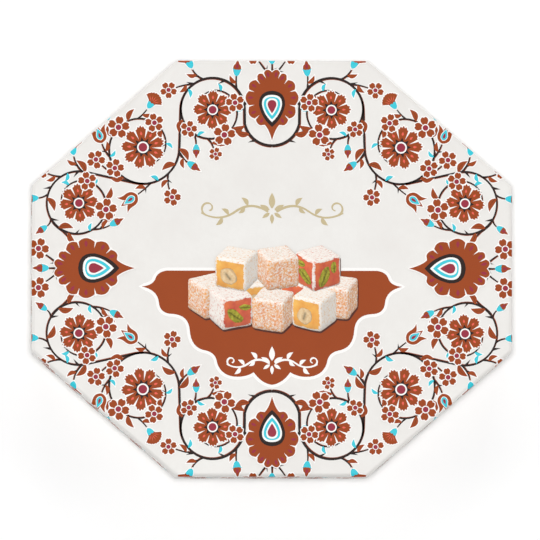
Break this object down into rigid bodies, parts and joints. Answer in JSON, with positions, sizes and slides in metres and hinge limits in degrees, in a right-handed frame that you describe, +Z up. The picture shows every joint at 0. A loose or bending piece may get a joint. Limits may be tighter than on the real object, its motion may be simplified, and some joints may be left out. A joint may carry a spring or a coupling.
{
  "type": "turkish delight box",
  "caption": "Eight-sided folding carton gift box with a printed lift-off lid, a formed tray of cut sweets, a loose sheet and a quilted pad.",
  "frame": {"origin": "under the middle of the box, on the surface it stands on", "axes": "+X along the long side of the lid, +Y along the short side towards the top of the picture, +Z up"},
  "size_m": [0.21, 0.182, 0.029],
  "materials": {
    "printed_board": "satin",
    "plain_board": "satin",
    "clear_plastic": "gloss",
    "glassine": "satin",
    "pad_paper": "matte",
    "hazelnut_sweet": "matte",
    "pistachio_sweet": "matte",
    "coconut_sweet": "matte"
  },
  "bodies": {
    "base": {"base": "plain_board"},
    "tray": {"sweet_tray": "clear_plastic"},
    "sweets": {"sweet_coconut_1": "coconut_sweet", "sweet_coconut_2": "coconut_sweet", "sweet_coconut_3": "coconut_sweet", "sweet_coconut_4": "coconut_sweet", "sweet_coconut_5": "coconut_sweet", "sweet_coconut_6": "coconut_sweet", "sweet_coconut_7": "coconut_sweet", "sweet_hazelnut_1": "hazelnut_sweet", "sweet_hazelnut_2": "hazelnut_sweet", "sweet_hazelnut_3": "hazelnut_sweet", "sweet_hazelnut_4": "hazelnut_sweet", "sweet_hazelnut_5": "hazelnut_sweet", "sweet_hazelnut_6": "hazelnut_sweet", "sweet_hazelnut_7": "hazelnut_sweet", "sweet_hazelnut_8": "hazelnut_sweet", "sweet_pistachio_1": "pistachio_sweet", "sweet_pistachio_2": "pistachio_sweet", "sweet_pistachio_3": "pistachio_sweet", "sweet_pistachio_4": "pistachio_sweet", "sweet_pistachio_5": "pistachio_sweet", "sweet_pistachio_6": "pistachio_sweet", "sweet_pistachio_7": "pistachio_sweet"},
    "sheet": {"interleaf_sheet": "glassine"},
    "pad": {"cushion_pad": "pad_paper"},
    "lid": {"lid": "printed_board"}
  },
  "joints": [
    {"name": "tray_lift", "type": "slide", "parent": "base", "child": "tray", "axis": [0, 0, 1], "range_m": [0, 0.045]},
    {"name": "sweets_lift", "type": "slide", "parent": "tray", "child": "sweets", "axis": [0, 0, 1], "range_m": [0, 0.03]},
    {"name": "sheet_lift", "type": "slide", "parent": "sweets", "child": "sheet", "axis": [0, 0, 1], "range_m": [0, 0.02]},
    {"name": "pad_lift", "type": "slide", "parent": "sheet", "child": "pad", "axis": [0, 0, 1], "range_m": [0, 0.03]},
    {"name": "lid_lift", "type": "slide", "parent": "pad", "child": "lid", "axis": [0, 0, 1], "range_m": [0, 0.06]}
  ]
}
